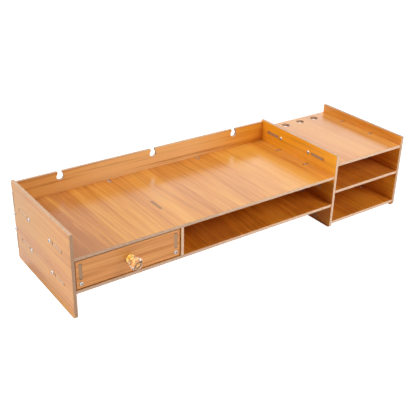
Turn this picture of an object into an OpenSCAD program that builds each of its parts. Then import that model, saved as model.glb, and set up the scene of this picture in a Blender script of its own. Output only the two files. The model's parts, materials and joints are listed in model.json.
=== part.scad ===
// Flat-pack desk hutch: a wide monitor riser with one drawer, and an open side unit
// that shares the riser's right-hand upright. Laminated boards of one thickness meet in
// tab and slot joints, and each joint is drawn tight by pan-head machine screws that run
// into square nuts lying in T-shaped slots.
// +X runs to the right, +Y to the back and +Z up. The origin is on the desk, under the
// middle of the object's own box. Each module works from the left upright's outer face,
// the uprights' front edges and the desk, and in_frame() moves it to that origin.

/* [Boards] */
// Thickness of the laminated boards
board_t = 5; // [4.9:0.1:5.3]
// Thickness of the drawer's bottom board
drawer_bottom_t = 3; // [2.5:0.1:3.4]
// Clearance round a tab in its slot, and round a nut
joint_fit = 0.1; // [0.05:0.05:0.2]

/* [Overall] */
// Width over the outer uprights
overall_w = 650; // [640:1:700]
// Depth of the uprights
upright_depth = 200; // [198:1:215]
// Height of the uprights
upright_h = 136; // [134:1:160]
// Radius of the uprights' lower corners
corner_r = 5; // [2:0.5:10]
// How far the shelves' front edges stand back from the uprights' edges
shelf_recess = 1; // [0.5:0.5:2]

/* [Riser] */
// Clear width between the left and the centre upright
riser_w = 482; // [470:1:490]
// Height of the back board
back_h = 133; // [130:1:134]
// Height of the main shelf's underside
main_shelf_z = 93; // [92:0.5:96]
// Height of the lower shelf's underside
lower_shelf_z = 40.5; // [38:0.5:41]
// Clear width of the drawer bay
drawer_bay_w = 173; // [170:1:180]
// Depth of the board between the drawer bay and the open bay
divider_depth = 148; // [120:1:160]
// Length of the divider's tabs
divider_tab_len = 30; // [20:1:40]
// Middle of the row of joints and notches along the back
back_row_x = 248.5; // [244:0.5:250]

/* [Cable notches] */
// Distance between the three notches in the back board
notch_pitch = 170; // [150:1:180]
// Radius of a notch's round foot
notch_r = 6.3; // [5.5:0.1:8]
// Width of a notch's neck
notch_neck_w = 8.6; // [7:0.1:10]
// Depth of the round foot's centre below the back board's top edge
notch_drop = 8.5; // [7:0.5:12]

/* [Side unit] */
// Underside of the bottom shelf
bottom_shelf_z = 6; // [5:0.5:12]
// Underside of the middle shelf
middle_shelf_z = 65; // [62:0.5:68]
// Underside of the top shelf
top_shelf_z = 115.5; // [112:0.5:118]
// Diameter of the pen holes
pen_hole_d = 15; // [10:0.5:18]
// Distance between the pen holes
pen_hole_pitch = 35.7; // [30:0.1:40]
// Distance of the pen holes' axes from the rear edge
pen_hole_inset = 16; // [14:0.5:20]
// How far the row of pen holes stands to the right of the unit's middle
pen_row_shift = 1; // [0:0.5:2]

/* [Tab and slot joints] */
// Length of a slot that takes a tab
slot_len = 31; // [28:0.5:32]
// Gap at either end of a tab in its slot
tab_end_gap = 1.7; // [0.2:0.1:2]
// Distance from a screw's axis to the slot next to it
tab_gap = 7.5; // [6.5:0.5:8]
// Distance between the two screws at a shelf's end
shelf_screw_pitch = 73; // [68:1:76]
// Middle of the joints at the riser's shelf ends, from the uprights' front edges
riser_joint_y = 103; // [100:0.5:104]
// Middle of the joints at the side unit's shelf ends
side_joint_y = 105.5; // [102:0.5:107]
// Distance between the two screws in the back board's end
back_end_pitch = 27; // [25:0.5:28]
// Height of the middle of the joint at the back board's end
back_end_z = 67; // [66:0.5:68]
// Distance between the screws that hold the back board to a shelf
back_screw_pitch = 176; // [170:1:180]

/* [Fasteners] */
// Diameter of the board screws
screw_d = 3; // [2.9:0.1:3]
// Length of the board screws under the head
screw_len = 16; // [14:0.5:16]
// Diameter of the screws' clearance holes and of the T-slots' stems
screw_hole_d = 3.2; // [3.1:0.1:3.4]
// Diameter of the screw heads
head_d = 6; // [5.5:0.1:6.2]
// Height of the screw heads
head_h = 2; // [1.8:0.1:2.2]
// Width of the square nuts, along the board
nut_w = 5.5; // [5.3:0.1:5.8]
// Size of the square nuts across the board, so that they stay inside its thickness
nut_flat = 4.8; // [4.4:0.1:4.9]
// Thickness of the nuts along the screw
nut_t = 2.4; // [1.8:0.1:2.6]
// Distance from the board's edge to the nut
nut_offset = 6; // [5:0.5:7]
// Depth of the T-slots from the board's edge
t_slot_len = 12; // [11.5:0.5:14]

/* [Drawer] */
// Gap between the drawer front and the bay at either side
front_gap_x = 2; // [1:0.5:2.5]
// Gap between the drawer front and the lower shelf
front_gap_bottom = 1.5; // [1:0.5:2]
// Gap between the drawer front and the main shelf
front_gap_top = 2; // [1:0.5:3]
// How far the drawer front stands back from the uprights' edges
front_recess = 2; // [1:0.5:3]
// Length of the drawer, from its front face to its rear face
drawer_len = 190; // [170:1:190]
// Height of the drawer's side boards
drawer_side_h = 44; // [43:0.5:45]
// Gap between the drawer's side boards and the shelf that they slide on
runner_gap = 0.3; // [0.3:0.1:0.5]
// Distance between the middle planes of the two side boards
side_spacing = 155; // [150:1:157]
// Length of the slots for the side boards' tabs
drawer_slot_len = 25; // [20:0.5:26]
// Height of the drawer's screws above the lower shelf
drawer_screw_z = 8.8; // [8:0.1:9]
// Distance from a drawer screw's axis to the slot above it
drawer_tab_gap = 6.7; // [6.5:0.1:8]
// Underside of the drawer's bottom board above the lower shelf
drawer_bottom_z = 3.5; // [3:0.1:4]
// Length of the drawer bottom's tabs
bottom_tab_len = 30; // [20:1:35]
// Distance between the two tabs along one side of the drawer bottom
bottom_tab_pitch = 84; // [70:1:90]

/* [Knob] */
// How far the knob stands out from the drawer front
knob_reach = 26; // [25:0.5:28]
// Largest diameter of the crystal
knob_d = 20; // [18:0.5:22]
// Height of the knob's axis above the lower shelf
knob_z = 24; // [22:0.5:26]
// Length of the metal base's visible part
knob_base_len = 8; // [7.5:0.5:9]
// Diameter of the boss that the crystal is glued on
knob_boss_d = 8; // [6.5:0.5:9]
// Length of that boss
knob_boss_len = 5; // [4:0.5:6]
// Diameter of the base's flange against the drawer front
knob_flange_d = 14; // [13:0.5:18]
// Diameter of the knob's screw
knob_screw_d = 4; // [3.5:0.1:4]
// Length of the knob's screw under the head
knob_screw_len = 10; // [9:0.5:10.5]

/* [Hidden] */
$fn = 64;

// Colours
laminate = [0.86, 0.58, 0.33];
bare_board = [0.80, 0.68, 0.52];
zinc = [0.78, 0.79, 0.80];
gold = [0.85, 0.66, 0.30];
crystal = [0.93, 0.90, 0.82, 0.6];

// A cut runs past a face by this much, so that no skin is left
over = 1;

// Uprights: the left face of each
centre_x = board_t + riser_w;
right_x = overall_w - board_t;
side_x = centre_x + board_t;

// Tabs
tab_len = slot_len - 2 * tab_end_gap;
drawer_end_gap = tab_end_gap / 2;

// Back board
back_front_y = upright_depth - board_t;
back_mid_y = upright_depth - board_t / 2;
back_end_screw_zs = pair(back_end_z, back_end_pitch / 2);
back_end_tab_zs = pair(back_end_z, back_end_pitch / 2 + tab_gap + slot_len / 2);
back_screw_xs = pair(back_row_x, back_screw_pitch / 2);
back_tab_xs = pair(back_row_x, back_screw_pitch / 2 + tab_gap + slot_len / 2);
notch_xs = [back_row_x - notch_pitch, back_row_x, back_row_x + notch_pitch];

// Shelves
riser_shelf_zs = [main_shelf_z, lower_shelf_z];
side_shelf_zs = [top_shelf_z, middle_shelf_z, bottom_shelf_z];
pen_row_x = (side_x + right_x) / 2 + pen_row_shift;
divider_x = board_t + drawer_bay_w;
divider_mid_y = shelf_recess + divider_depth / 2;
lower_top_z = lower_shelf_z + board_t;

// Drawer
front_w = drawer_bay_w - 2 * front_gap_x;
front_bottom_z = lower_top_z + front_gap_bottom;
front_top_z = main_shelf_z - front_gap_top;
drawer_mid_x = board_t + drawer_bay_w / 2;
drawer_side_xs = pair(drawer_mid_x, side_spacing / 2);
drawer_side_z = lower_top_z + runner_gap;
drawer_inner_y = front_recess + board_t;
drawer_back_y = front_recess + drawer_len - board_t;
drawer_tab_z = lower_top_z + drawer_screw_z + drawer_tab_gap + drawer_slot_len / 2;
drawer_tab_len = drawer_slot_len - 2 * drawer_end_gap;
drawer_screw_level = lower_top_z + drawer_screw_z;
bottom_level = lower_top_z + drawer_bottom_z;
bottom_tab_ys = pair((drawer_inner_y + drawer_back_y) / 2, bottom_tab_pitch / 2);

// Knob, along its own axis from the drawer front's face
knob_level = lower_top_z + knob_z;
knob_hole_d = knob_screw_d + 0.2;
thread_play = 0.1;
glue_gap = 0.1;
crystal_seat_d = 12;
crystal_len = knob_reach - knob_base_len;
crystal_facets = 10;

// Screw heads: a flat cylinder with a domed top and a cross recess
dome_drop = 1;
recess_len = 3.4;
recess_w = 0.8;
recess_depth = 1.1;

// The object's own box, whose middle is the origin
front_y = front_recess - knob_reach;
rear_y = upright_depth + head_h;

function pair(mid, half) = [mid - half, mid + half];
function shelf_screw_ys(mid) = pair(mid, shelf_screw_pitch / 2);
function shelf_tab_ys(mid) = pair(mid, shelf_screw_pitch / 2 + tab_gap + slot_len / 2);
// Where the screws of several shelves cross an upright, as [y, z]
function shelf_screw_points(zs, mid) =
    [for (z = zs) for (y = shelf_screw_ys(mid)) [y, z + board_t / 2]];
function back_end_points() = [for (z = back_end_screw_zs) [back_mid_y, z]];

module in_frame()
    translate([-overall_w / 2, -(front_y + rear_y) / 2, 0]) children();

// Boards: an outline drawn in the board's own plane, given a thickness and a place.
// A flat board's outline is drawn in X and Y, an upright's in Y and Z and a cross
// board's in X and Z.
module flat_board(z, thick = board_t)
    in_frame() translate([0, 0, z]) linear_extrude(thick) children();

module upright_board(x)
    in_frame() translate([x, 0, 0]) rotate([90, 0, 90]) linear_extrude(board_t) children();

module cross_board(y)
    in_frame() translate([0, y + board_t, 0]) rotate([90, 0, 0]) linear_extrude(board_t) children();

module bar(mid, size)
    translate(mid - size / 2) square(size);

// A slot that takes a tab of the given length, along the first or the second axis
module tab_slot(mid, length, across = board_t)
    bar(mid, [length + 2 * joint_fit, across + 2 * joint_fit]);

module tab_slot_up(mid, length)
    bar(mid, [board_t + 2 * joint_fit, length + 2 * joint_fit]);

// The slot for a screw and its nut, which runs in from a board's edge along +X
module t_slot() {
    translate([-over, -screw_hole_d / 2])
        square([t_slot_len + over, screw_hole_d]);
    translate([nut_offset - joint_fit, -nut_w / 2 - joint_fit])
        square([nut_t + 2 * joint_fit, nut_w + 2 * joint_fit]);
}

// Uprights
module upright_outline() {
    translate([0, corner_r])
        square([upright_depth, upright_h - corner_r]);
    translate([corner_r, 0])
        square([upright_depth - 2 * corner_r, corner_r + over]);
    for (y = [corner_r, upright_depth - corner_r])
        translate([y, corner_r]) circle(corner_r);
}

module shelf_end_cuts(zs, mid) {
    for (z = zs)
        for (y = shelf_tab_ys(mid))
            tab_slot([y, z + board_t / 2], slot_len);
    for (point = shelf_screw_points(zs, mid))
        translate(point) circle(d = screw_hole_d);
}

module back_end_cuts() {
    for (z = back_end_tab_zs)
        bar([back_mid_y + over / 2, z], [board_t + 2 * joint_fit + over, slot_len + 2 * joint_fit]);
    for (point = back_end_points())
        translate(point) circle(d = screw_hole_d);
}

module left_upright()
    color(laminate) upright_board(0) difference() {
        upright_outline();
        shelf_end_cuts(riser_shelf_zs, riser_joint_y);
        back_end_cuts();
    }

module centre_upright()
    color(laminate) upright_board(centre_x) difference() {
        upright_outline();
        shelf_end_cuts(riser_shelf_zs, riser_joint_y);
        shelf_end_cuts(side_shelf_zs, side_joint_y);
        back_end_cuts();
    }

module right_upright()
    color(laminate) upright_board(right_x) difference() {
        upright_outline();
        shelf_end_cuts(side_shelf_zs, side_joint_y);
    }

// Back board, with an open keyhole notch for each cable
module cable_notch() {
    circle(notch_r);
    translate([-notch_neck_w / 2, 0])
        square([notch_neck_w, notch_drop + over]);
}

module back_board()
    color(laminate) cross_board(back_front_y) difference() {
        union() {
            translate([board_t, 0]) square([riser_w, back_h]);
            for (z = back_end_tab_zs)
                bar([board_t + riser_w / 2, z], [riser_w + 2 * board_t, tab_len]);
        }
        for (z = back_end_screw_zs) {
            translate([board_t, z]) t_slot();
            translate([centre_x, z]) mirror([1, 0]) t_slot();
        }
        for (z = riser_shelf_zs) {
            for (x = back_tab_xs)
                tab_slot([x, z + board_t / 2], slot_len);
            for (x = back_screw_xs)
                translate([x, z + board_t / 2]) circle(d = screw_hole_d);
        }
        for (x = notch_xs)
            translate([x, back_h - notch_drop]) cable_notch();
    }

// Shelves
module shelf_outline(x, width, rear, joint_y)
    difference() {
        union() {
            translate([x, shelf_recess]) square([width, rear - shelf_recess]);
            for (y = shelf_tab_ys(joint_y))
                bar([x + width / 2, y], [width + 2 * board_t, tab_len]);
        }
        for (y = shelf_screw_ys(joint_y)) {
            translate([x, y]) t_slot();
            translate([x + width, y]) mirror([1, 0]) t_slot();
        }
    }

module riser_shelf(z)
    color(laminate) flat_board(z) difference() {
        union() {
            shelf_outline(board_t, riser_w, back_front_y, riser_joint_y);
            for (x = back_tab_xs)
                bar([x, back_mid_y - over / 2], [tab_len, board_t + over]);
        }
        for (x = back_screw_xs)
            translate([x, back_front_y]) rotate(-90) t_slot();
        tab_slot_up([divider_x + board_t / 2, divider_mid_y], divider_tab_len);
    }

module main_shelf() riser_shelf(main_shelf_z);

module lower_shelf() riser_shelf(lower_shelf_z);

module bay_divider()
    color(laminate) upright_board(divider_x) {
        translate([shelf_recess, lower_top_z])
            square([divider_depth, main_shelf_z - lower_top_z]);
        translate([divider_mid_y - divider_tab_len / 2, lower_shelf_z])
            square([divider_tab_len, main_shelf_z + board_t - lower_shelf_z]);
    }

module side_shelf(z)
    color(laminate) flat_board(z) difference() {
        shelf_outline(side_x, right_x - side_x, upright_depth, side_joint_y);
        children();
    }

module side_top_shelf()
    side_shelf(top_shelf_z)
        for (i = [-1, 0, 1])
            translate([pen_row_x + i * pen_hole_pitch, upright_depth - pen_hole_inset])
                circle(d = pen_hole_d);

module side_middle_shelf() side_shelf(middle_shelf_z);

module side_bottom_shelf() side_shelf(bottom_shelf_z);

// Drawer
module drawer_end_board(y, low, high)
    cross_board(y) difference() {
        translate([board_t + front_gap_x, low]) square([front_w, high - low]);
        for (x = drawer_side_xs) {
            tab_slot_up([x, drawer_tab_z], drawer_slot_len);
            translate([x, drawer_screw_level]) circle(d = screw_hole_d);
        }
        children();
    }

module drawer_front()
    color(laminate)
        drawer_end_board(front_recess, front_bottom_z, front_top_z)
            translate([drawer_mid_x, knob_level]) circle(d = knob_hole_d);

module drawer_back()
    color(laminate)
        drawer_end_board(drawer_back_y, drawer_side_z, drawer_side_z + drawer_side_h);

module drawer_side(mid_x)
    color(laminate) upright_board(mid_x - board_t / 2) difference() {
        union() {
            translate([drawer_inner_y, drawer_side_z])
                square([drawer_back_y - drawer_inner_y, drawer_side_h]);
            bar([front_recess + drawer_len / 2, drawer_tab_z], [drawer_len, drawer_tab_len]);
        }
        translate([drawer_inner_y, drawer_screw_level]) t_slot();
        translate([drawer_back_y, drawer_screw_level]) mirror([1, 0]) t_slot();
        for (y = bottom_tab_ys)
            tab_slot([y, bottom_level + drawer_bottom_t / 2], bottom_tab_len, drawer_bottom_t);
    }

module drawer_left_side() drawer_side(drawer_side_xs[0]);

module drawer_right_side() drawer_side(drawer_side_xs[1]);

module drawer_bottom()
    color(bare_board) flat_board(bottom_level, drawer_bottom_t) {
        translate([drawer_side_xs[0] + board_t / 2, drawer_inner_y])
            square([side_spacing - board_t, drawer_back_y - drawer_inner_y]);
        for (y = bottom_tab_ys)
            bar([drawer_mid_x, y], [side_spacing + board_t, bottom_tab_len]);
    }

// Fasteners, drawn along +Z with the head below its seat at z = 0
module pan_screw(d = screw_d, length = screw_len, head = head_d) {
    dome_r = (head * head / 4 + dome_drop * dome_drop) / (2 * dome_drop);
    cylinder(d = d, h = length);
    difference() {
        intersection() {
            translate([0, 0, -head_h]) cylinder(d = head, h = head_h);
            translate([0, 0, dome_r - head_h]) sphere(dome_r);
        }
        for (turn = [0, 90])
            rotate(turn)
                translate([-recess_len / 2, -recess_w / 2, -head_h - over])
                    cube([recess_len, recess_w, recess_depth + over]);
    }
}

// A nut in its slot, thin across the board along the screw's own X or Y
module square_nut(thin)
    translate([0, 0, board_t + nut_offset]) difference() {
        translate([thin == "x" ? -nut_flat / 2 : -nut_w / 2, thin == "y" ? -nut_flat / 2 : -nut_w / 2, 0])
            cube([thin == "x" ? nut_flat : nut_w, thin == "y" ? nut_flat : nut_w, nut_t]);
        translate([0, 0, -over]) cylinder(d = screw_d + thread_play, h = nut_t + 2 * over);
    }

// Turns a fastener's own axis along +X or -X, or along +Y or -Y
module along_x(way) rotate([0, 90 * way, 0]) children();

module along_y(way) rotate([-90 * way, 0, 0]) children();

// Puts a fastener at each [y, z] point of an upright's face at x
module at_upright(x, way, points)
    in_frame()
        for (point = points)
            translate([x, point[0], point[1]]) along_x(way) children();

// Puts a fastener at each [x, z] point of a cross board's face at y
module at_cross(y, way, points)
    in_frame()
        for (point = points)
            translate([point[0], y, point[1]]) along_y(way) children();

riser_points = shelf_screw_points(riser_shelf_zs, riser_joint_y);
side_points = shelf_screw_points(side_shelf_zs, side_joint_y);
back_points = [for (z = riser_shelf_zs) for (x = back_screw_xs) [x, z + board_t / 2]];
drawer_points = [for (x = drawer_side_xs) [x, drawer_screw_level]];

module left_upright_screws()
    color(zinc) at_upright(0, 1, concat(riser_points, back_end_points())) pan_screw();

module left_upright_nuts()
    color(zinc) {
        at_upright(0, 1, riser_points) square_nut("x");
        at_upright(0, 1, back_end_points()) square_nut("y");
    }

module centre_upright_riser_screws()
    color(zinc) at_upright(side_x, -1, concat(riser_points, back_end_points())) pan_screw();

module centre_upright_riser_nuts()
    color(zinc) {
        at_upright(side_x, -1, riser_points) square_nut("x");
        at_upright(side_x, -1, back_end_points()) square_nut("y");
    }

module centre_upright_side_screws()
    color(zinc) at_upright(centre_x, 1, side_points) pan_screw();

module centre_upright_side_nuts()
    color(zinc) at_upright(centre_x, 1, side_points) square_nut("x");

module right_upright_screws()
    color(zinc) at_upright(overall_w, -1, side_points) pan_screw();

module right_upright_nuts()
    color(zinc) at_upright(overall_w, -1, side_points) square_nut("x");

module back_board_screws()
    color(zinc) at_cross(upright_depth, -1, back_points) pan_screw();

module back_board_nuts()
    color(zinc) at_cross(upright_depth, -1, back_points) square_nut("y");

module drawer_front_screws()
    color(zinc) at_cross(front_recess, 1, drawer_points) pan_screw();

module drawer_front_nuts()
    color(zinc) at_cross(front_recess, 1, drawer_points) square_nut("x");

module drawer_back_screws()
    color(zinc) at_cross(front_recess + drawer_len, -1, drawer_points) pan_screw();

module drawer_back_nuts()
    color(zinc) at_cross(front_recess + drawer_len, -1, drawer_points) square_nut("x");

// Knob, drawn along +Z from the drawer front's face
module at_knob()
    at_cross(front_recess, -1, [[drawer_mid_x, knob_level]]) children();

module knob_base()
    color(gold) at_knob() difference() {
        rotate_extrude() polygon([
            [0, 0],
            [knob_flange_d / 2, 0],
            [knob_flange_d / 2, 1],
            [knob_boss_d / 2, 2.4],
            [knob_boss_d / 2, knob_base_len - 3.5],
            [crystal_seat_d / 2 + 1, knob_base_len - 0.6],
            [crystal_seat_d / 2 + 1, knob_base_len],
            [knob_boss_d / 2, knob_base_len],
            [knob_boss_d / 2, knob_base_len + knob_boss_len],
            [0, knob_base_len + knob_boss_len]
        ]);
        translate([0, 0, -over])
            cylinder(d = knob_screw_d + thread_play, h = knob_base_len + knob_boss_len - 2 + over);
    }

module knob_crystal()
    color(crystal) at_knob() translate([0, 0, knob_base_len]) difference() {
        rotate_extrude($fn = crystal_facets) polygon([
            [0, 0],
            [crystal_seat_d / 2, 0],
            [knob_d / 2, crystal_len * 0.42],
            [knob_d / 2, crystal_len * 0.54],
            [knob_d / 3, crystal_len],
            [0, crystal_len]
        ]);
        translate([0, 0, -over])
            cylinder(d = knob_boss_d + 2 * glue_gap, h = knob_boss_len + glue_gap + over);
    }

module knob_screw()
    color(zinc) at_cross(drawer_inner_y, -1, [[drawer_mid_x, knob_level]])
        pan_screw(d = knob_screw_d, length = knob_screw_len, head = head_d + 1.5);

left_upright();
centre_upright();
right_upright();
back_board();
main_shelf();
lower_shelf();
bay_divider();
side_top_shelf();
side_middle_shelf();
side_bottom_shelf();
left_upright_screws();
left_upright_nuts();
centre_upright_riser_screws();
centre_upright_riser_nuts();
centre_upright_side_screws();
centre_upright_side_nuts();
right_upright_screws();
right_upright_nuts();
back_board_screws();
back_board_nuts();
drawer_front();
drawer_left_side();
drawer_right_side();
drawer_back();
drawer_bottom();
drawer_front_screws();
drawer_front_nuts();
drawer_back_screws();
drawer_back_nuts();
knob_crystal();
knob_base();
knob_screw();
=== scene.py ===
"""Looks for the desk hutch: printed laminate boards, zinc fasteners and a cut crystal knob."""

import json
import math
import random

import bmesh
import bpy
from mathutils import Matrix, Vector

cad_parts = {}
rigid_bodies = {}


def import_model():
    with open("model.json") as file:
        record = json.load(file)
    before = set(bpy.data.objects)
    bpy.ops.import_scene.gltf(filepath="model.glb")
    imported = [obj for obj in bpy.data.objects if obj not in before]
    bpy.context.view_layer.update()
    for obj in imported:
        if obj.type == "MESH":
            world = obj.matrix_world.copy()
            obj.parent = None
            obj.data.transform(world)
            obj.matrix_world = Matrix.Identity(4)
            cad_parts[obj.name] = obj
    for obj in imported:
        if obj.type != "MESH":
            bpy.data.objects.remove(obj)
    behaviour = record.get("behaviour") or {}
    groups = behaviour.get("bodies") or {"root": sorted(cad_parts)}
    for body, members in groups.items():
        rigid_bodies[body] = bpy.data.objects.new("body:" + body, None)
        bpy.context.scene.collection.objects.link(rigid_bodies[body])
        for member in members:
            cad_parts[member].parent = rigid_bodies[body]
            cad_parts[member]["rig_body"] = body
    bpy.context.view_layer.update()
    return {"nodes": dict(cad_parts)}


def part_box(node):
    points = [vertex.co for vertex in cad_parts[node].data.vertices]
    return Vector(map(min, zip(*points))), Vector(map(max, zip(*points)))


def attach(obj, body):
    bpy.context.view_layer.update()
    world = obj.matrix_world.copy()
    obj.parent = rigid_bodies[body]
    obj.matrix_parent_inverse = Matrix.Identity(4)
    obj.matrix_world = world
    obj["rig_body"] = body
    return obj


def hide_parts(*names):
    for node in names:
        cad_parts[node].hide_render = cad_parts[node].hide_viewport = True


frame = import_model()
NODES = frame["nodes"]
X, Y, Z = 0, 1, 2
MM = 0.001
# Mesh points closer than this are one
SAME_POINT = 0.002 * MM


# ---------------------------------------------------------------- shader tools
class Shader:
    """One material's node tree, built by short calls that return sockets."""

    def __init__(self, name):
        self.mat = bpy.data.materials.new(name)
        self.mat.use_nodes = True
        self.tree = self.mat.node_tree
        self.tree.nodes.clear()
        self.out = self.tree.nodes.new("ShaderNodeOutputMaterial")
        self.bsdf = self.tree.nodes.new("ShaderNodeBsdfPrincipled")
        self.join(self.bsdf.outputs["BSDF"], self.out.inputs["Surface"])
        self.place = self.tree.nodes.new("ShaderNodeTexCoord")

    def join(self, source, target):
        self.tree.links.new(source, target)

    def feed(self, target, value):
        if hasattr(value, "is_output"):
            self.join(value, target)
        else:
            target.default_value = value

    def maths(self, operation, a, b=0.0, c=0.0, clamp=False):
        node = self.tree.nodes.new("ShaderNodeMath")
        node.operation = operation
        node.use_clamp = clamp
        for target, value in zip(node.inputs, (a, b, c)):
            self.feed(target, value)
        return node.outputs[0]

    def times(self, a, b):
        return self.maths("MULTIPLY", a, b)

    def plus(self, a, b):
        return self.maths("ADD", a, b)

    def centred(self, noise, gain):
        """Noise about zero, times gain."""
        return self.times(self.maths("SUBTRACT", noise, 0.5), gain)

    def vector(self, operation, a, b):
        node = self.tree.nodes.new("ShaderNodeVectorMath")
        node.operation = operation
        self.feed(node.inputs[0], a)
        self.feed(node.inputs[1], b)
        return node.outputs[0]

    def split(self, vector):
        node = self.tree.nodes.new("ShaderNodeSeparateXYZ")
        self.join(vector, node.inputs[0])
        return list(node.outputs)

    def combine(self, a, b, c):
        node = self.tree.nodes.new("ShaderNodeCombineXYZ")
        for target, value in zip(node.inputs, (a, b, c)):
            self.feed(target, value)
        return node.outputs[0]

    def noise(self, vector, stretch, detail=2.0, rough=0.5, distortion=0.0):
        """Noise over a vector in metres, with stretch cycles per metre along each axis."""
        node = self.tree.nodes.new("ShaderNodeTexNoise")
        self.join(self.vector("MULTIPLY", vector, stretch), node.inputs["Vector"])
        node.inputs["Scale"].default_value = 1.0
        node.inputs["Detail"].default_value = detail
        node.inputs["Roughness"].default_value = rough
        node.inputs["Distortion"].default_value = distortion
        return node.outputs[0]

    def span(self, value, low, high, to_low=0.0, to_high=1.0):
        """Value between low and high, eased and moved to between to_low and to_high."""
        node = self.tree.nodes.new("ShaderNodeMapRange")
        node.interpolation_type = "SMOOTHSTEP"
        for target, v in zip(node.inputs, (value, low, high, to_low, to_high)):
            self.feed(target, v)
        return node.outputs[0]

    def blend(self, share, a, b):
        """A mix of two colours."""
        node = self.tree.nodes.new("ShaderNodeMix")
        node.data_type = "RGBA"
        self.feed(node.inputs["Factor"], share)
        self.feed(node.inputs[6], a)
        self.feed(node.inputs[7], b)
        return node.outputs[2]

    def mix(self, share, a, b):
        """A mix of two numbers."""
        node = self.tree.nodes.new("ShaderNodeMix")
        node.data_type = "FLOAT"
        self.feed(node.inputs[0], share)
        self.feed(node.inputs[2], a)
        self.feed(node.inputs[3], b)
        return node.outputs[0]

    def bump(self, height, depth):
        """A bump whose height of 1 stands for depth metres."""
        node = self.tree.nodes.new("ShaderNodeBump")
        node.inputs["Strength"].default_value = 1.0
        node.inputs["Distance"].default_value = depth
        self.join(height, node.inputs["Height"])
        return node.outputs[0]

    def finish(self, colour, roughness, normal=None, **constants):
        """The material, with the shader's other inputs as constants by their names."""
        self.join(colour, self.bsdf.inputs["Base Color"])
        self.feed(self.bsdf.inputs["Roughness"], roughness)
        if normal is not None:
            self.join(normal, self.bsdf.inputs["Normal"])
        for name, value in constants.items():
            self.bsdf.inputs[name.replace("_", " ")].default_value = value
        return self.mat


def rgb(r, g, b):
    return (r, g, b, 1.0)


# ---------------------------------------------------------------- laminate
PALE_WOOD = rgb(0.80, 0.352, 0.040)
MID_WOOD = rgb(0.70, 0.258, 0.020)
DEEP_WOOD = rgb(0.51, 0.148, 0.011)
LINE_WOOD = rgb(0.36, 0.086, 0.011)
GREY_WOOD = rgb(0.64, 0.245, 0.058)
# Pale cream for painted glare on the back board and the shelves
GLARE_PALE_WOOD = rgb(0.92, 0.55, 0.22)
DULL_SHADE_WOOD = rgb(0.48, 0.255, 0.125)
BROWN_SHADE_WOOD = rgb(0.40, 0.108, 0.008)
# Deep orange-brown for boards inside the bays: painted shade
SHADED_INNER_WOOD = rgb(0.60, 0.130, 0.002)
GOLDEN_WOOD = rgb(0.99, 0.43, 0.016)
OCHRE_WOOD = rgb(0.54, 0.225, 0.026)
GLARE_VEIL_WOOD = rgb(0.72, 0.40, 0.22)
CORE_PALE = rgb(0.70, 0.465, 0.305)
CORE_TAN = rgb(0.57, 0.355, 0.220)
CORE_DARK = rgb(0.30, 0.17, 0.10)
CORE_SHADE_DARK = rgb(0.26, 0.130, 0.065)
FILM_EDGE = rgb(0.42, 0.24, 0.12)
TAB_DARK = rgb(0.335, 0.178, 0.088)
TAB_PALE = rgb(0.66, 0.400, 0.230)
BOARD_T = 5 * MM
FILM_T = 0.18 * MM


# The print's noises: cycles per metre along and across the grain, detail and roughness
SWAY = ((2.4, 7.0, 1.0), 2.0)
BROAD = ((1.6, 17.0, 1.0), 2.0)
BANDS = ((3.6, 75.0, 1.0), 2.0, 0.55)
LINES = ((5.5, 260.0, 1.0), 2.0, 0.6)
FINE = ((13.0, 900.0, 1.0), 2.0, 0.6)
STREAKS = ((4.5, 190.0, 1.0), 2.0)
RINGS = ((0.9, 17.0, 1.0), 1.0)
RING_BREAKS = ((3.0, 20.0, 1.0), 1.0)
PORES = ((95.0, 2400.0, 1.0), 1.0)

# What each noise adds to the tone, and how much more contrast there is where the board is darkened
# as painted shade
BROAD_GAIN, BANDS_GAIN, LINES_GAIN, FINE_GAIN = 1.4, 1.2, 1.4, 1.3
SHADE_CONTRAST = 2.6
RING_COUNT = 7.0
SHIFT_RANGE = 40.0


def dark_lines(s, place, contrast):
    """How dark the print's single streaks and growth rings are."""
    streak = s.span(s.noise(place, *STREAKS), 0.58, 0.74)
    rings = s.maths("PINGPONG", s.times(s.noise(place, *RINGS), RING_COUNT), 0.5)
    ring_break = s.span(s.noise(place, *RING_BREAKS), 0.46, 0.62)
    ring = s.times(s.span(rings, 0.0, 0.09, 1.0, 0.0), ring_break)
    dark = s.maths("MAXIMUM", s.times(streak, 0.38), s.times(ring, 0.16))
    return s.times(dark, s.maths("MINIMUM", contrast, 1.0))


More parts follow.
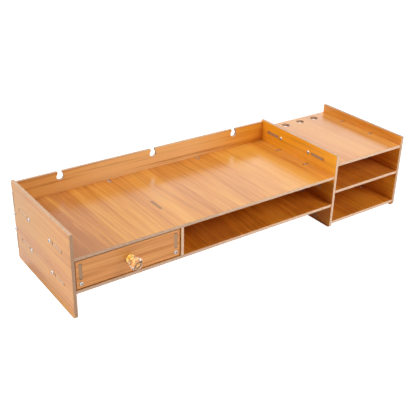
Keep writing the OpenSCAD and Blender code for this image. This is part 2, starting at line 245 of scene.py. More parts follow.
def wood_print(s, place, figure, shade, shade_colour):
    """The printed grain: colour, height and tone, over x along the grain and y across it."""
    contrast, sway_gain, base_tone, wash, wash_share = figure
    contrast = s.maths("MULTIPLY_ADD", shade, SHADE_CONTRAST * contrast, contrast)
    sway = s.centred(s.noise(place, *SWAY), sway_gain)
    warped = s.vector("ADD", place, s.combine(0.0, sway, 0.0))
    broad = s.noise(warped, *BROAD)
    bands = s.noise(warped, *BANDS)
    lines = s.noise(warped, *LINES)
    pores = s.span(s.noise(place, *PORES), 0.60, 0.72)
    pores = s.times(pores, s.span(bands, 0.38, 0.60, 0.25, 1.0))

    swing = s.plus(s.centred(broad, BROAD_GAIN), s.centred(bands, BANDS_GAIN))
    swing = s.plus(swing, s.centred(lines, LINES_GAIN))
    swing = s.plus(swing, s.centred(s.noise(warped, *FINE), FINE_GAIN))
    tone = s.maths("MULTIPLY_ADD", swing, contrast, s.plus(shade, base_tone), clamp=True)

    colour = s.blend(s.span(tone, 0.0, 0.55), PALE_WOOD, MID_WOOD)
    # The wash: painted light, glare and shade on most boards
    colour = s.blend(wash_share, colour, wash)
    colour = s.blend(s.span(tone, 0.45, 1.0, 0.0, 0.80), colour, DEEP_WOOD)
    # The board's band of painted shade
    colour = s.blend(s.times(shade, 0.9), colour, shade_colour)
    colour = s.blend(s.span(broad, 0.50, 0.68, 0.0, 0.25), colour, GREY_WOOD)
    colour = s.blend(dark_lines(s, warped, contrast), colour, LINE_WOOD)
    colour = s.blend(s.times(pores, 0.22), colour, LINE_WOOD)
    height = s.maths("SUBTRACT", s.times(lines, 0.35), pores)
    return colour, height, tone


def fibre_core(s, tone):
    """The cut edge of the fibreboard: pale and faintly speckled, a little darker in places, and
    darkened by tone as painted shade.
    """
    place = s.place.outputs["Object"]
    clumps = s.noise(place, (260.0, 260.0, 260.0), 3.0, 0.6)
    grit = s.noise(place, (1500.0, 1500.0, 1500.0), 2.0, 0.6)
    smear = s.noise(place, (30.0, 30.0, 30.0), 2.0)
    colour = s.blend(s.span(clumps, 0.34, 0.70, 0.0, 0.8), CORE_PALE, CORE_TAN)
    colour = s.blend(s.span(smear, 0.45, 0.75, 0.0, 0.35), colour, CORE_TAN)
    colour = s.blend(s.span(grit, 0.62, 0.76, 0.0, 0.28), colour, CORE_DARK)
    # The cut edge darkens towards this colour by tone: painted shade, darker at the left on several
    # boards
    colour = s.blend(tone, CORE_SHADE_DARK, colour)
    height = s.plus(clumps, s.times(grit, 0.6))
    return colour, height


# How fast the figure changes along and across the grain, against the other boards
GRAIN_SCALES = {
    "back_board": (0.60, 1.0),
    "drawer_front": (0.70, 1.0),
    "main_shelf": (1.0, 0.72),
    "lower_shelf": (1.0, 0.50),
}

# Where a board's print is darkened across its grain as painted shade: at the main shelf's left end,
# on the centre upright under the main shelf and on the right upright below the side top shelf. Dark
# end and pale end in metres, how much and to what
PAINTED_SHADE_BANDS = {
    "main_shelf": (-0.31, -0.19, 0.40, DULL_SHADE_WOOD),
    "centre_upright": (0.080, 0.092, 0.50, BROWN_SHADE_WOOD),
    "right_upright": (0.108, 0.119, 0.26, SHADED_INNER_WOOD),
}
NO_BAND = (0.0, 1.0, 0.0, DULL_SHADE_WOOD)

# Where the wash of colour fades away on a board, and with it the painted light, glare and shade it
# carries: each fade has its axis, where it is over and where it starts in metres, and how much of
# the wash is left
WASH_FADES = {
    # The left upright's painted shade fades towards the front
    "left_upright": ((Y, -0.087, 0.093, 0.15),),
    # The back board's painted glare is full in its middle and fades towards both ends
    "back_board": ((X, -0.30, -0.15, 0.4), (X, 0.14, -0.02, 0.0)),
    # The centre upright's painted light stops below the main shelf
    "centre_upright": ((Z, 0.080, 0.092, 0.0),),
}


def printed_face(s, board, axes, axes_used, figure, draw):
    """A board's own stretch of the print, with its band of painted shade and its fading wash of
    colour, which paints light, glare and shade on most boards.
    """
    through, grain = axes_used
    across = X + Y + Z - through - grain
    shift = [draw.uniform(-SHIFT_RANGE, SHIFT_RANGE) for _ in range(3)]
    pace, crowding = GRAIN_SCALES.get(board, (1.0, 1.0))
    along = s.maths("MULTIPLY_ADD", axes[grain], pace, shift[0])
    beside = s.maths("MULTIPLY_ADD", axes[across], crowding, shift[1])
    place = s.combine(along, beside, shift[2])
    dark_end, pale_end, amount, shade_colour = PAINTED_SHADE_BANDS.get(board, NO_BAND)
    shade = s.span(axes[across], dark_end, pale_end, amount, 0.0)
    wash_share = figure[-1]
    for axis, over, starts, left_over in WASH_FADES.get(board, ()):
        fade = s.span(axes[axis], over, starts, left_over, 1.0)
        wash_share = s.times(fade, wash_share)
    return wood_print(s, place, figure[:-1] + (wash_share,), shade, shade_colour)


def cut_edge(s, way, depth, ends, edge_shade):
    """A board's cut edges: the core with its painted shade, the faces at its ends in a given darker
    or paler colour, and the film's thin line.
    """
    core, height = fibre_core(s, edge_shade)
    if ends is not None:
        axis, shade_of_ends = ends
        end_face = s.span(s.maths("ABSOLUTE", way[axis]), 0.75, 0.95, 0.0, 0.80)
        core = s.blend(end_face, core, shade_of_ends)
    film = BOARD_T / 2 - FILM_T
    film_line = s.span(depth, film - 0.05 * MM, film)
    return s.blend(s.times(film_line, 0.6), core, FILM_EDGE), height


def laminate(board, axes_used, ends, box, figure, edge_shade_tones, draw):
    """Fibreboard with a printed film on both faces, worn at its rounded edges."""
    through, _ = axes_used
    low, high = box
    s = Shader("laminate." + board)
    own = s.place.outputs["Object"]
    axes = s.split(own)
    way = s.split(s.place.outputs["Normal"])
    facing = s.maths("ABSOLUTE", way[through])
    middle = (low[through] + high[through]) / 2
    depth = s.maths("ABSOLUTE", s.maths("SUBTRACT", axes[through], middle))
    wood, wood_height, tone = printed_face(s, board, axes, axes_used, figure, draw)
    edge_shade = s.span(axes[X], low.x, high.x, edge_shade_tones[0], edge_shade_tones[1])
    core, core_height = cut_edge(s, way, depth, ends, edge_shade)

    scuff = s.noise(own, (120.0, 120.0, 120.0), 3.0, 0.65)
    on_face = s.span(s.plus(facing, s.centred(scuff, 0.5)), 0.62, 0.80)
    worn = s.times(on_face, s.span(facing, 0.86, 0.995, 1.0, 0.0))
    colour = s.blend(on_face, core, wood)
    colour = s.blend(s.times(worn, 0.55), colour, CORE_PALE)

    smudge = s.noise(own, (9.0, 9.0, 9.0), 3.0, 0.6)
    sheen = s.plus(s.span(smudge, 0.3, 0.7, 0.17, 0.25), s.times(tone, 0.04))
    roughness = s.mix(on_face, 0.60, sheen)
    height = s.mix(on_face, s.times(core_height, 2.2), s.times(wood_height, 0.10))
    return s.finish(colour, roughness, s.bump(height, 0.06 * MM), IOR=1.5)


def hardboard(name):
    """The thin drawer bottom: bare pressed fibre."""
    s = Shader(name)
    place = s.place.outputs["Object"]
    strands = s.noise(place, (420.0, 300.0, 420.0), 4.0, 0.65, 1.5)
    cloud = s.noise(place, (30.0, 24.0, 30.0), 3.0)
    grit = s.noise(place, (1600.0, 1600.0, 1600.0), 2.0)
    colour = s.blend(s.span(strands, 0.35, 0.68), rgb(0.50, 0.33, 0.18), rgb(0.33, 0.20, 0.10))
    colour = s.blend(s.span(cloud, 0.4, 0.7, 0.0, 0.5), colour, rgb(0.42, 0.26, 0.13))
    colour = s.blend(s.span(grit, 0.6, 0.75, 0.0, 0.6), colour, rgb(0.16, 0.09, 0.05))
    roughness = s.span(cloud, 0.3, 0.7, 0.62, 0.80)
    return s.finish(colour, roughness, s.bump(strands, 0.05 * MM), IOR=1.5)


def zinc(name, tone):
    """Bright zinc plate: fine lines, a faint cloud of colour and duller patches."""
    s = Shader(name)
    place = s.place.outputs["Object"]
    cloud = s.noise(place, (420.0, 420.0, 420.0), 3.0, 0.6)
    grit = s.noise(place, (3200.0, 3200.0, 3200.0), 2.0)
    warm = rgb(0.93 * tone, 0.92 * tone, 0.90 * tone)
    cool = rgb(0.86 * tone, 0.89 * tone, 0.93 * tone)
    colour = s.blend(s.span(cloud, 0.35, 0.65), warm, cool)
    colour = s.blend(s.span(grit, 0.62, 0.75, 0.0, 0.35), colour, rgb(0.42, 0.41, 0.40))
    roughness = s.span(cloud, 0.3, 0.7, 0.20, 0.36)
    return s.finish(colour, roughness, s.bump(grit, 0.012 * MM), Metallic=1.0)


def gold(name, pale, deep):
    """Polished gold-coloured plate with faint turning lines and rubbed patches."""
    s = Shader(name)
    place = s.place.outputs["Object"]
    turning = s.noise(place, (60.0, 4200.0, 60.0), 2.0)
    cloud = s.noise(place, (260.0, 260.0, 260.0), 3.0)
    colour = s.blend(s.span(cloud, 0.35, 0.68), pale, deep)
    roughness = s.plus(s.span(cloud, 0.3, 0.7, 0.12, 0.22), s.times(turning, 0.06))
    return s.finish(colour, roughness, s.bump(turning, 0.006 * MM), Metallic=1.0)


def crystal(name):
    """Clear cut glass, polished, with a few faint wipe marks."""
    s = Shader(name)
    place = s.place.outputs["Object"]
    wipe = s.noise(place, (160.0, 160.0, 60.0), 3.0, 0.6, 1.0)
    colour = s.blend(s.span(wipe, 0.4, 0.7), rgb(1.0, 0.985, 0.95), rgb(0.97, 0.955, 0.92))
    roughness = s.span(wipe, 0.35, 0.75, 0.0, 0.05)
    return s.finish(colour, roughness, Transmission_Weight=1.0, IOR=1.54)


# ---------------------------------------------------------------- boards
# Figures: contrast, the grain's sway in metres, the middle tone, a wash of colour and its share; on
# most boards the wash and the middle tone paint light, glare and shade
PLAIN = (0.90, 0.014, 0.45, PALE_WOOD, 0.0)
# Figures of the shelves inside the side bays: darker, deeper copies of the print, painted shade
SHADED_INSIDE = (2.10, 0.018, 0.50, SHADED_INNER_WOOD, 0.14)
SHADED_INSIDE_LOW = (2.20, 0.018, 0.46, SHADED_INNER_WOOD, 0.32)

# The first board's seed for its place in the print
FIRST_SEED = 100

# Each board: the axes of its thickness and its grain; the axis and the colour of its sawn
# ends; its figure; and how light its cut edges are at the left and at the right, lower values being
# painted shade
BOARDS = {
    # The left upright's ochre wash is painted shade, darker towards the rear
    "left_upright": ((X, Y), (Y, TAB_DARK), (1.25, 0.014, 0.40, OCHRE_WOOD, 0.75), (1.0, 1.0)),
    # The centre upright's golden wash and light middle tone are painted light on its face above the
    # main shelf
    "centre_upright": ((X, Y), None, (1.15, 0.014, 0.13, GOLDEN_WOOD, 0.70), (1.0, 1.0)),
    "right_upright": ((X, Y), None, (0.95, 0.014, 0.40, GOLDEN_WOOD, 0.15), (0.60, 0.60)),
    # The back board's pale wash and light middle tone are a painted reflection of the main shelf's
    # glare
    "back_board": ((Y, X), (X, TAB_DARK), (1.85, 0.012, 0.29, GLARE_PALE_WOOD, 0.95), (0.8, 1.0)),
    # The main shelf's faint pale wash is painted glare
    "main_shelf": ((Z, Y), (X, TAB_PALE), (0.95, 0.030, 0.45, GLARE_PALE_WOOD, 0.09), (0.6, 1.0)),
    # The lower shelf's darker tone and inner wash are painted shade in the open bay
    "lower_shelf": ((Z, Y), (X, TAB_PALE), (2.4, 0.020, 0.54, SHADED_INNER_WOOD, 0.36), (0.6, 1.0)),
    "bay_divider": ((X, Y), (Z, TAB_DARK), PLAIN, (1.0, 1.0)),
    # The side top shelf's pale wash is painted glare
    "side_top_shelf": ((Z, Y), (X, TAB_DARK), (0.50, 0.010, 0.50, GLARE_PALE_WOOD, 0.16), (1.0, 1.0)),
    "side_middle_shelf": ((Z, Y), (X, TAB_DARK), SHADED_INSIDE, (1.0, 1.0)),
    "side_bottom_shelf": ((Z, Y), (X, TAB_DARK), SHADED_INSIDE_LOW, (1.0, 1.0)),
    # The drawer front's pale, greyer wash is a painted veil of glare
    "drawer_front": ((Y, X), None, (1.0, 0.018, 0.60, GLARE_VEIL_WOOD, 0.25), (0.8, 0.8)),
    "drawer_left_side": ((X, Y), (Y, TAB_DARK), PLAIN, (0.7, 0.7)),
    "drawer_right_side": ((X, Y), (Y, TAB_DARK), PLAIN, (0.9, 0.9)),
    "drawer_back": ((Y, X), (X, TAB_DARK), PLAIN, (0.9, 0.9)),
}


def wear(node, material):
    """Gives a CAD node its one material."""
    data = node.data
    if len(data.materials) == 0:
        data.materials.append(material)
    for slot in node.material_slots:
        slot.link = "OBJECT"
        slot.material = material


def soften(node, width, angle=30.0):
    """Rounds a CAD node's edges by modifiers and leaves its mesh alone."""
    weld = node.modifiers.new("weld", "WELD")
    weld.merge_threshold = SAME_POINT
    flat = node.modifiers.new("flat", "DECIMATE")
    flat.decimate_type = "DISSOLVE"
    flat.angle_limit = math.radians(0.5)
    bevel = node.modifiers.new("bevel", "BEVEL")
    bevel.width = width
    bevel.segments = 2
    bevel.limit_method = "ANGLE"
    bevel.angle_limit = math.radians(angle)
    bevel.use_clamp_overlap = True
    bevel.miter_outer = "MITER_ARC"
    shade = node.modifiers.new("shade", "WEIGHTED_NORMAL")
    shade.weight = 100
    shade.keep_sharp = True


def dress_boards():
    for i, (name, (axes_used, ends, figure, edge_shade_tones)) in enumerate(BOARDS.items()):
        draw = random.Random(FIRST_SEED + i)
        wear(NODES[name], laminate(name, axes_used, ends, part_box(name), figure, edge_shade_tones, draw))
        soften(NODES[name], 0.28 * MM)
    wear(NODES["drawer_bottom"], hardboard("hardboard"))
    soften(NODES["drawer_bottom"], 0.2 * MM)


# ---------------------------------------------------------------- fasteners
# Screws: the head's height, the shank's radius and the thread's pitch
BOARD_SCREW = (1.97 * MM, 1.48 * MM, 0.5 * MM)
KNOB_SCREW = (2.0 * MM, 1.97 * MM, 0.7 * MM)
FASTENER_SEED = 11
# A nut's edges are rounded where they turn by more than this, in degrees
NUT_ANGLE = 40.0


def unit(axis):
    v = Vector((0.0, 0.0, 0.0))
    v[axis] = 1.0
    return v


def islands(node):
    """The node's separate solids, each as a list of points."""
    bm = bmesh.new()
    bm.from_mesh(node.data)
    bmesh.ops.remove_doubles(bm, verts=bm.verts, dist=SAME_POINT)
    left, found = set(bm.verts), []
    while left:
        start = min(left, key=lambda v: tuple(v.co))
        group, queue = {start}, [start]
        while queue:
            for edge in queue.pop().link_edges:
                for v in edge.verts:
                    if v not in group:
                        group.add(v)
                        queue.append(v)
        left -= group
        found.append([v.co.copy() for v in group])
    bm.free()
    return sorted(found, key=lambda pts: tuple(round(min(p[k] for p in pts), 5) for k in range(3)))


def screw_frame(points):
    """Where a screw stands: its head's top, its shank's way, its length and its head's radius."""
    low = Vector([min(p[k] for p in points) for k in range(3)])
    high = Vector([max(p[k] for p in points) for k in range(3)])
    size = high - low
    axis = max(range(3), key=lambda k: size[k])
    centre = (low + high) / 2
    head_r = max(size[k] for k in range(3) if k != axis) / 2

    def widest(end):
        near = [p for p in points if abs(p[axis] - end) < 2.2 * MM]
        return max((p - centre - (p - centre)[axis] * unit(axis)).length for p in near)

    head_low = widest(low[axis]) > widest(high[axis])
    top = centre.copy()
    top[axis] = low[axis] if head_low else high[axis]
    way = unit(axis) * (1.0 if head_low else -1.0)
    return top, way, size[axis], head_r


def cross_outline(half_w, arm):
    """The edge of a cross recess as angle and radius pairs, all the way round."""
    corner = math.atan2(half_w, arm)
    steps = [0.0, corner, (corner + math.pi / 4) / 2, math.pi / 4]
    pairs = []
    for quarter in range(4):
        for a in steps + [math.pi / 2 - s for s in reversed(steps[1:3])]:
            near = min(a, math.pi / 2 - a)
            r = arm / math.cos(near) if near <= corner + 1e-9 else half_w / math.sin(near)
            pairs.append((a + quarter * math.pi / 2, r))
    return pairs


def ring(bm, pairs, z):
    return [bm.verts.new((r * math.cos(a), r * math.sin(a), z)) for a, r in pairs]


def bridge(bm, a, b):
    for i in range(len(a)):
        j = (i + 1) % len(a)
        bm.faces.new((a[i], a[j], b[j], b[i]))


# The loops over a screw's dome, as shares of the way from its recess to its rim, and the
# number of loops before the recess starts
DOME_SHARES = (0.97, 0.85, 0.62, 0.36, 0.14, 0.04)
RECESS = 4 + len(DOME_SHARES)


def dome(r, head_r, rise, side):
    """Height of a pan head's top at radius r, above its underside."""
    return side + rise * math.sqrt(max(0.0, 1.0 - (r / head_r) ** 2 * 0.96))


def add_head(bm, head_r, shank_r, height):
    """A pan head standing on z = 0 with its top at height, and a cross recess in it."""
    outline = cross_outline(0.145 * head_r, 0.56 * head_r)
    angles = [a for a, _ in outline]
    side = 0.28 * height
    rise = height - side

    def circle(r, z):
        return ring(bm, [(a, r) for a in angles], z)

    def top(share):
        pairs = [(a, r + (head_r * 0.98 - r) * share) for a, r in outline]
        return [
            bm.verts.new((r * math.cos(a), r * math.sin(a), dome(r, head_r, rise, side)))
            for a, r in pairs
        ]

    loops = [circle(shank_r, 0.0), circle(head_r * 0.95, 0.0), circle(head_r, 0.05 * height)]
    loops.append(circle(head_r, side))
    loops += [top(share) for share in DOME_SHARES]
    deep = height * 0.52
    inner = [(a, r * 0.985) for a, r in outline]
    loops.append(ring(bm, inner, height * 0.90))
    loops.append(ring(bm, [(a, r * 0.80) for a, r in outline], height - deep))
    loops.append(ring(bm, [(a, r * 0.30) for a, r in outline], height - deep * 1.12))
    for a, b in zip(loops[:RECESS], loops[1:RECESS]):
        bridge(bm, a, b)
    # Faces made so far take the screw's zinc; the recess faces after them take the dark zinc of
    # painted shade
    outside_recess = set(bm.faces)
    for a, b in zip(loops[RECESS - 1:], loops[RECESS:]):
        bridge(bm, a, b)
    bm.faces.new(loops[-1])
    for face in bm.faces:
        face.material_index = 0 if face in outside_recess else 1
    return loops[0], angles


def add_shank(bm, top_ring, angles, length, radius, pitch):
    """A threaded shank hanging from the ring under the head, with a chamfered point."""
    n = len(angles)
    depth = 0.16 * radius
    turns = int((length - 0.9 * MM) / pitch)
    rows = 2 * turns
    columns = []
    for j, a in enumerate(angles):
        column = []
        for i in range(rows + 1):
            z = -(0.25 * MM + (i / 2 + j / n) * pitch)
            r = radius if i % 2 else radius - depth
            column.append(bm.verts.new((r * math.cos(a), r * math.sin(a), z)))
        columns.append(column)
    for j in range(n - 1):
        a, b = columns[j], columns[j + 1]
        bm.faces.new((top_ring[j + 1], top_ring[j], a[0], b[0]))
        for i in range(rows):
            bm.faces.new((a[i], a[i + 1], b[i + 1], b[i]))
    a, b = columns[-1], columns[0]
    bm.faces.new((top_ring[0], top_ring[-1], a[0], b[2], b[1], b[0]))
    for i in range(rows - 2):
        bm.faces.new((a[i], a[i + 1], b[i + 3], b[i + 2]))
    neck = ring(bm, [(p, radius - depth) for p in angles], -(length - 0.30 * MM))
    point = ring(bm, [(p, radius * 0.62) for p in angles], -length)
    for j in range(n - 1):
        bm.faces.new((columns[j][-1], neck[j], neck[j + 1], columns[j + 1][-1]))
    bm.faces.new((a[rows - 2], a[rows - 1], a[rows], neck[-1], neck[0], b[rows]))
    bridge(bm, neck, point)
    bm.faces.new(point)


def screw_mesh(name, head_r, shank_r, head_h, length, pitch):
    """One screw with the underside of its head at the origin and its shank along -Z."""
    bm = bmesh.new()
    top_ring, angles = add_head(bm, head_r, shank_r, head_h)
    add_shank(bm, top_ring, angles, length, shank_r, pitch)
    bmesh.ops.recalc_face_normals(bm, faces=bm.faces)
    for face in bm.faces:
        face.smooth = True
    for edge in bm.edges:
        if len(edge.link_faces) == 2 and edge.calc_face_angle() > math.radians(38):
            edge.smooth = False
    mesh = bpy.data.meshes.new(name)
    bm.to_mesh(mesh)
    bm.free()
    return mesh


def joined(name, parts):
    """One object made of several (mesh, matrix) parts."""
    bm = bmesh.new()
    for mesh, matrix in parts:
        piece = bmesh.new()
        piece.from_mesh(mesh)
        piece.transform(matrix)
        flat = bpy.data.meshes.new("part")
        piece.to_mesh(flat)
        piece.free()
        bm.from_mesh(flat)
        bpy.data.meshes.remove(flat)
    mesh = bpy.data.meshes.new(name)
    bm.to_mesh(mesh)
    bm.free()
    return show(name, mesh)


def show(name, mesh):
    piece = bpy.data.objects.new(name, mesh)
    bpy.context.scene.collection.objects.link(piece)
    return piece


def aligned(origin, way, turn):
    """A matrix whose -Z points along way, at origin, turned about its own axis."""
    quat = (-way).to_track_quat("Z", "Y")
    return Matrix.Translation(origin) @ quat.to_matrix().to_4x4() @ Matrix.Rotation(turn, 4, "Z")


def screws(node_name, body, materials, sizes, draw):
    """Detailed screws in place of one CAD node's."""
    head_h, shank_r, pitch = sizes
    parts, made = [], {}
    for points in islands(NODES[node_name]):
        top, way, full, head_r = screw_frame(points)
        key = (round(full, 5), round(head_r, 5))
        if key not in made:
            inside_r = head_r - 0.02 * MM
            made[key] = screw_mesh("screw", inside_r, shank_r, head_h, full - head_h, pitch)
        seat = top + way * head_h
        parts.append((made[key], aligned(seat, way, draw.uniform(0.0, math.pi / 2))))
    piece = joined(node_name + ".threaded", parts)
    for mesh in made.values():
        bpy.data.meshes.remove(mesh)
    for material in materials:
        piece.data.materials.append(material)
    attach(piece, body)
    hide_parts(node_name)


def dress_fasteners():
    draw = random.Random(FASTENER_SEED)
    # The second screw material is near-black zinc, painted shade in the cross recess
    zinc_and_recess_shade = (zinc("zinc.screws", 0.66), zinc("zinc.recess_shade", 0.16))
    dull = zinc("zinc.nuts", 0.74)
    for name in sorted(NODES):
        body = NODES[name]["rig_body"]
        if name.endswith("_screws"):
            screws(name, body, zinc_and_recess_shade, BOARD_SCREW, draw)
        elif name.endswith("_nuts"):
            wear(NODES[name], dull)
            soften(NODES[name], 0.22 * MM, NUT_ANGLE)
    screws("knob_screw", "drawer", zinc_and_recess_shade, KNOB_SCREW, draw)


# ---------------------------------------------------------------- knob
FACETS = 10
# The crystal's seat, and the round pocket in it with its number of points for each facet
SEAT_R = 6.0 * MM
POCKET_R = 4.1 * MM
POCKET_STEPS = 4
# Rings of the cut: share of the radius, share of the length, and turn in facets
CUT = {
    "pavilion": (0.84, 0.30, 0.0),
    "girdle_low": (0.995, 0.43, 0.5),
    "girdle_high": (0.995, 0.52, 0.5),
    "crown": (0.84, 0.76, 0.0),
    "table": (0.50, 0.985, 0.5),
}
FOIL_PALE, FOIL_DEEP = rgb(0.88, 0.46, 0.13), rgb(0.50, 0.17, 0.02)
PLATE_PALE, PLATE_DEEP = rgb(0.92, 0.60, 0.20), rgb(0.76, 0.42, 0.10)


def polygon(bm, n, r, z, turn):
    """A ring of n points at radius r and height z, turned by a share of one step."""
    points = []
    for i in range(n):
        a = (i + turn) * 2 * math.pi / n
        points.append(bm.verts.new((r * math.cos(a), r * math.sin(a), z)))
    return points


def fan_between(bm, inner, outer, offset):
    """Triangles between a ring of n points and a ring of n points half a step round."""
    n = len(inner)
    for i in range(n):
        j = (i + 1) % n
        k = (i + offset) % n
        m = (i + offset + 1) % n
        bm.faces.new((inner[i], outer[k], inner[j]))
        bm.faces.new((outer[k], outer[m], inner[j]))


def add_pocket(bm, seat, depth):
    """A round pocket in the crystal's seat, whose end is foiled where it is glued on."""
    rim = polygon(bm, FACETS * POCKET_STEPS, POCKET_R, 0.0, 0.0)
    pocket = polygon(bm, FACETS * POCKET_STEPS, POCKET_R, depth, 0.0)
    for i in range(FACETS):
        arc = [rim[(i * POCKET_STEPS + k) % len(rim)] for k in range(POCKET_STEPS + 1)]
        bm.faces.new([seat[i], seat[(i + 1) % FACETS]] + arc[::-1])
    bridge(bm, rim, pocket)
    foiled = bm.faces.new(pocket)
    foiled.material_index = 1


def crystal_mesh(r, length, pocket_len):
    """A brilliant-cut knob along +Z, with its seat at the origin."""
    bm = bmesh.new()
    seat = polygon(bm, FACETS, SEAT_R, 0.0, 0.0)
    neck = polygon(bm, FACETS, SEAT_R * 1.30, length * 0.12, 0.5)
    cut = {}
    for name, (reach, height, turn) in CUT.items():
        cut[name] = polygon(bm, FACETS, r * reach, length * height, turn)
    fan_between(bm, seat, neck, 0)
    fan_between(bm, neck, cut["pavilion"], 1)
    fan_between(bm, cut["pavilion"], cut["girdle_low"], 0)
    bridge(bm, cut["girdle_low"], cut["girdle_high"])
    fan_between(bm, cut["girdle_high"], cut["crown"], 1)
    fan_between(bm, cut["crown"], cut["table"], 0)
    bm.faces.new(cut["table"])
    add_pocket(bm, seat, pocket_len)
    bmesh.ops.recalc_face_normals(bm, faces=bm.faces)
    mesh = bpy.data.meshes.new("crystal")
    bm.to_mesh(mesh)
    bm.free()
    return mesh


def dress_knob():
    low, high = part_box("knob_crystal")
    base_low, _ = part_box("knob_base")
    centre = (low + high) / 2
    length = high.y - low.y
    r = (high.x - low.x) / 2
    pocket_len = high.y - base_low.y + 0.1 * MM
    mesh = crystal_mesh(r, length, pocket_len)
    mesh.transform(aligned(Vector((centre.x, high.y, centre.z)), unit(Y), 0.0))
    piece = show("knob_crystal.cut", mesh)
    piece.data.materials.append(crystal("crystal.cut"))
    piece.data.materials.append(gold("gold.foil", FOIL_PALE, FOIL_DEEP))
    edge = piece.modifiers.new("edge", "BEVEL")
    edge.width = 0.12 * MM
    edge.segments = 1
    edge.limit_method = "ANGLE"
    edge.angle_limit = math.radians(8)
    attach(piece, "drawer")
    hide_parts("knob_crystal")
    wear(NODES["knob_base"], gold("gold.plate", PLATE_PALE, PLATE_DEEP))
    soften(NODES["knob_base"], 0.25 * MM)


# ---------------------------------------------------------------- stage
FLOOR_HALF = 14.0
FLOOR_Z = -0.3 * MM
# The floor's glow, what is left of it under the hutch, and what the camera sees on top
GLOW, GLOW_UNDER, GLOW_SEEN = 0.90, 0.08, 0.09
# The shadow under the hutch: where it starts, is full, begins to fall and is over, in metres
SHADOW_X = (-0.345, -0.315, 0.31, 0.34)
SHADOW_Y = (-0.102, -0.072, 0.073, 0.103)
WORLD_LIGHT = 0.02


def footprint(s, place):
    """One on the floor under the hutch, falling to nothing just outside it."""
    share = 1.0
    for value, (starts, full, falls, over) in zip(s.split(place), (SHADOW_X, SHADOW_Y)):
        share = s.times(share, s.span(value, starts, full))
        share = s.times(share, s.span(value, falls, over, 1.0, 0.0))
    return share


def floor_material():
    """Plain pale floor that glows evenly, and sends little light up from under the hutch."""
    s = Shader("floor")
    place = s.place.outputs["Object"]
    cloud = s.noise(place, (1.6, 1.6, 1.6), 3.0)
    colour = s.blend(cloud, rgb(0.29, 0.29, 0.292), rgb(0.32, 0.32, 0.32))
    s.bsdf.inputs["Emission Color"].default_value = rgb(1.0, 1.0, 1.0)
    ray = s.tree.nodes.new("ShaderNodeLightPath").outputs
    bounced = s.maths("ADD", ray["Is Diffuse Ray"], ray["Is Glossy Ray"], clamp=True)
    shadow = s.times(footprint(s, place), bounced)
    seen = s.times(ray["Is Camera Ray"], GLOW_SEEN)
    glow = s.plus(s.span(shadow, 0.0, 1.0, GLOW, GLOW_UNDER), seen)
    s.join(glow, s.bsdf.inputs["Emission Strength"])
    return s.finish(colour, 0.9)


def add_floor():
    mesh = bpy.data.meshes.new("floor")
    far = FLOOR_HALF
    corners = [(-far, -far, 0.0), (far, -far, 0.0), (far, far, 0.0), (-far, far, 0.0)]
    mesh.from_pydata(corners, [], [(0, 1, 2, 3)])
    floor = show("floor", mesh)
    floor.location.z = FLOOR_Z
    floor.data.materials.append(floor_material())


def softbox(name, place, target, width, height, radiance):
    """An area light of an even radiance, which the camera doesn't see."""
    data = bpy.data.lights.new(name, "AREA")
    data.shape = "RECTANGLE"
    data.size = width
    data.size_y = height
    data.energy = radiance * math.pi * width * height
    lamp = bpy.data.objects.new(name, data)
    bpy.context.scene.collection.objects.link(lamp)
    way = Vector(target) - Vector(place)
    facing = way.to_track_quat("-Z", "Y").to_matrix().to_4x4()
    lamp.matrix_world = Matrix.Translation(place) @ facing
    lamp.visible_camera = False
    lamp.visible_glossy = name not in MATT_LIGHTS


def add_world():
    """White where it is seen, mirrored or looked at through glass, and almost dark as light."""
    world = bpy.data.worlds.new("studio")
    world.use_nodes = True
    tree = world.node_tree
    tree.nodes.clear()
    out = tree.nodes.new("ShaderNodeOutputWorld")
    lit = tree.nodes.new("ShaderNodeBackground")
    seen = tree.nodes.new("ShaderNodeBackground")
    choose = tree.nodes.new("ShaderNodeMixShader")
    ray = tree.nodes.new("ShaderNodeLightPath").outputs
    lit.inputs["Strength"].default_value = WORLD_LIGHT
    seen.inputs["Color"].default_value = rgb(1.0, 1.0, 1.0)
    share = ray["Is Camera Ray"]
    for kind in ("Is Glossy Ray", "Is Transmission Ray"):
        either = tree.nodes.new("ShaderNodeMath")
        either.operation = "MAXIMUM"
        tree.links.new(share, either.inputs[0])
        tree.links.new(ray[kind], either.inputs[1])
        share = either.outputs[0]
    tree.links.new(share, choose.inputs[0])
    tree.links.new(lit.outputs[0], choose.inputs[1])
    tree.links.new(seen.outputs[0], choose.inputs[2])
    tree.links.new(choose.outputs[0], out.inputs["Surface"])
    bpy.context.scene.world = world


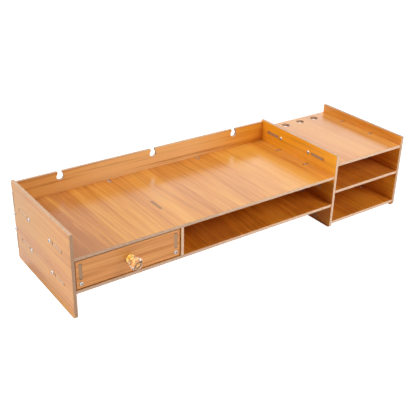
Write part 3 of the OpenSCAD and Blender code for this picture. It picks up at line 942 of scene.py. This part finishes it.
# Softboxes: where each stands, what it faces, its width, height and radiance
SOFTBOXES = {
    "top": ((0.0, 0.203, 1.6), (0.0, 0.0, 0.0), 1.4, 1.2, 1.62),
    "top_left": ((-1.2, 0.203, 1.5), (0.0, 0.0, 0.0), 1.4, 1.2, 2.90),
    "behind": ((0.1, 1.903, 1.0), (0.0, 0.0, 0.1), 1.4, 1.3, 0.25),
    "behind_right": ((1.6, 1.703, 1.0), (0.0, 0.0, 0.1), 1.4, 1.3, 1.00),
    "behind_left": ((-1.4, 1.703, 1.0), (0.0, 0.0, 0.1), 1.4, 1.3, 1.10),
    "left": ((-1.9, 0.303, 0.8), (0.0, 0.0, 0.1), 1.4, 1.2, 1.00),
    "front": ((-0.2, -1.897, 0.9), (0.0, 0.0, 0.1), 1.4, 1.2, 0.50),
    "front_right": ((0.9, -1.697, 0.6), (0.1, 0.0, 0.1), 1.0, 0.9, 2.57),
    "key": ((0.58, -1.117, 0.98), (-0.2, 0.0, 0.05), 0.4, 0.4, 5.00),
    "key_close": ((0.35, -0.597, 0.6), (0.2, 0.0, 0.05), 0.35, 0.35, 5.07),
}

# The lights nearest the front, which would leave burnt-out patches on the gloss
MATT_LIGHTS = ("key_close", "front_right")


def light():
    add_world()
    for name, (place, target, width, height, radiance) in SOFTBOXES.items():
        softbox(name, place, target, width, height, radiance)


# ---------------------------------------------------------------- camera
# Place in metres, angles in degrees, lens and sensor in millimetres
CAMERA_AT = (-0.6669, -0.8713, 0.6209)
HEADING = 35.92
PITCH = -27.72
ROLL = 1.52
LENS = 63.4
SENSOR = 36.0


def add_camera():
    data = bpy.data.cameras.new("camera")
    data.lens = LENS
    data.sensor_width = SENSOR
    camera = bpy.data.objects.new("camera", data)
    bpy.context.scene.collection.objects.link(camera)
    turn = Matrix.Rotation(math.radians(-HEADING), 4, "Z")
    tilt = Matrix.Rotation(math.radians(90 + PITCH), 4, "X")
    roll = Matrix.Rotation(math.radians(ROLL), 4, "Z")
    camera.matrix_world = Matrix.Translation(CAMERA_AT) @ turn @ tilt @ roll
    bpy.context.scene.camera = camera


dress_boards()
dress_fasteners()
dress_knob()
add_floor()
light()
add_camera()
bpy.context.scene.view_settings.view_transform = "Standard"
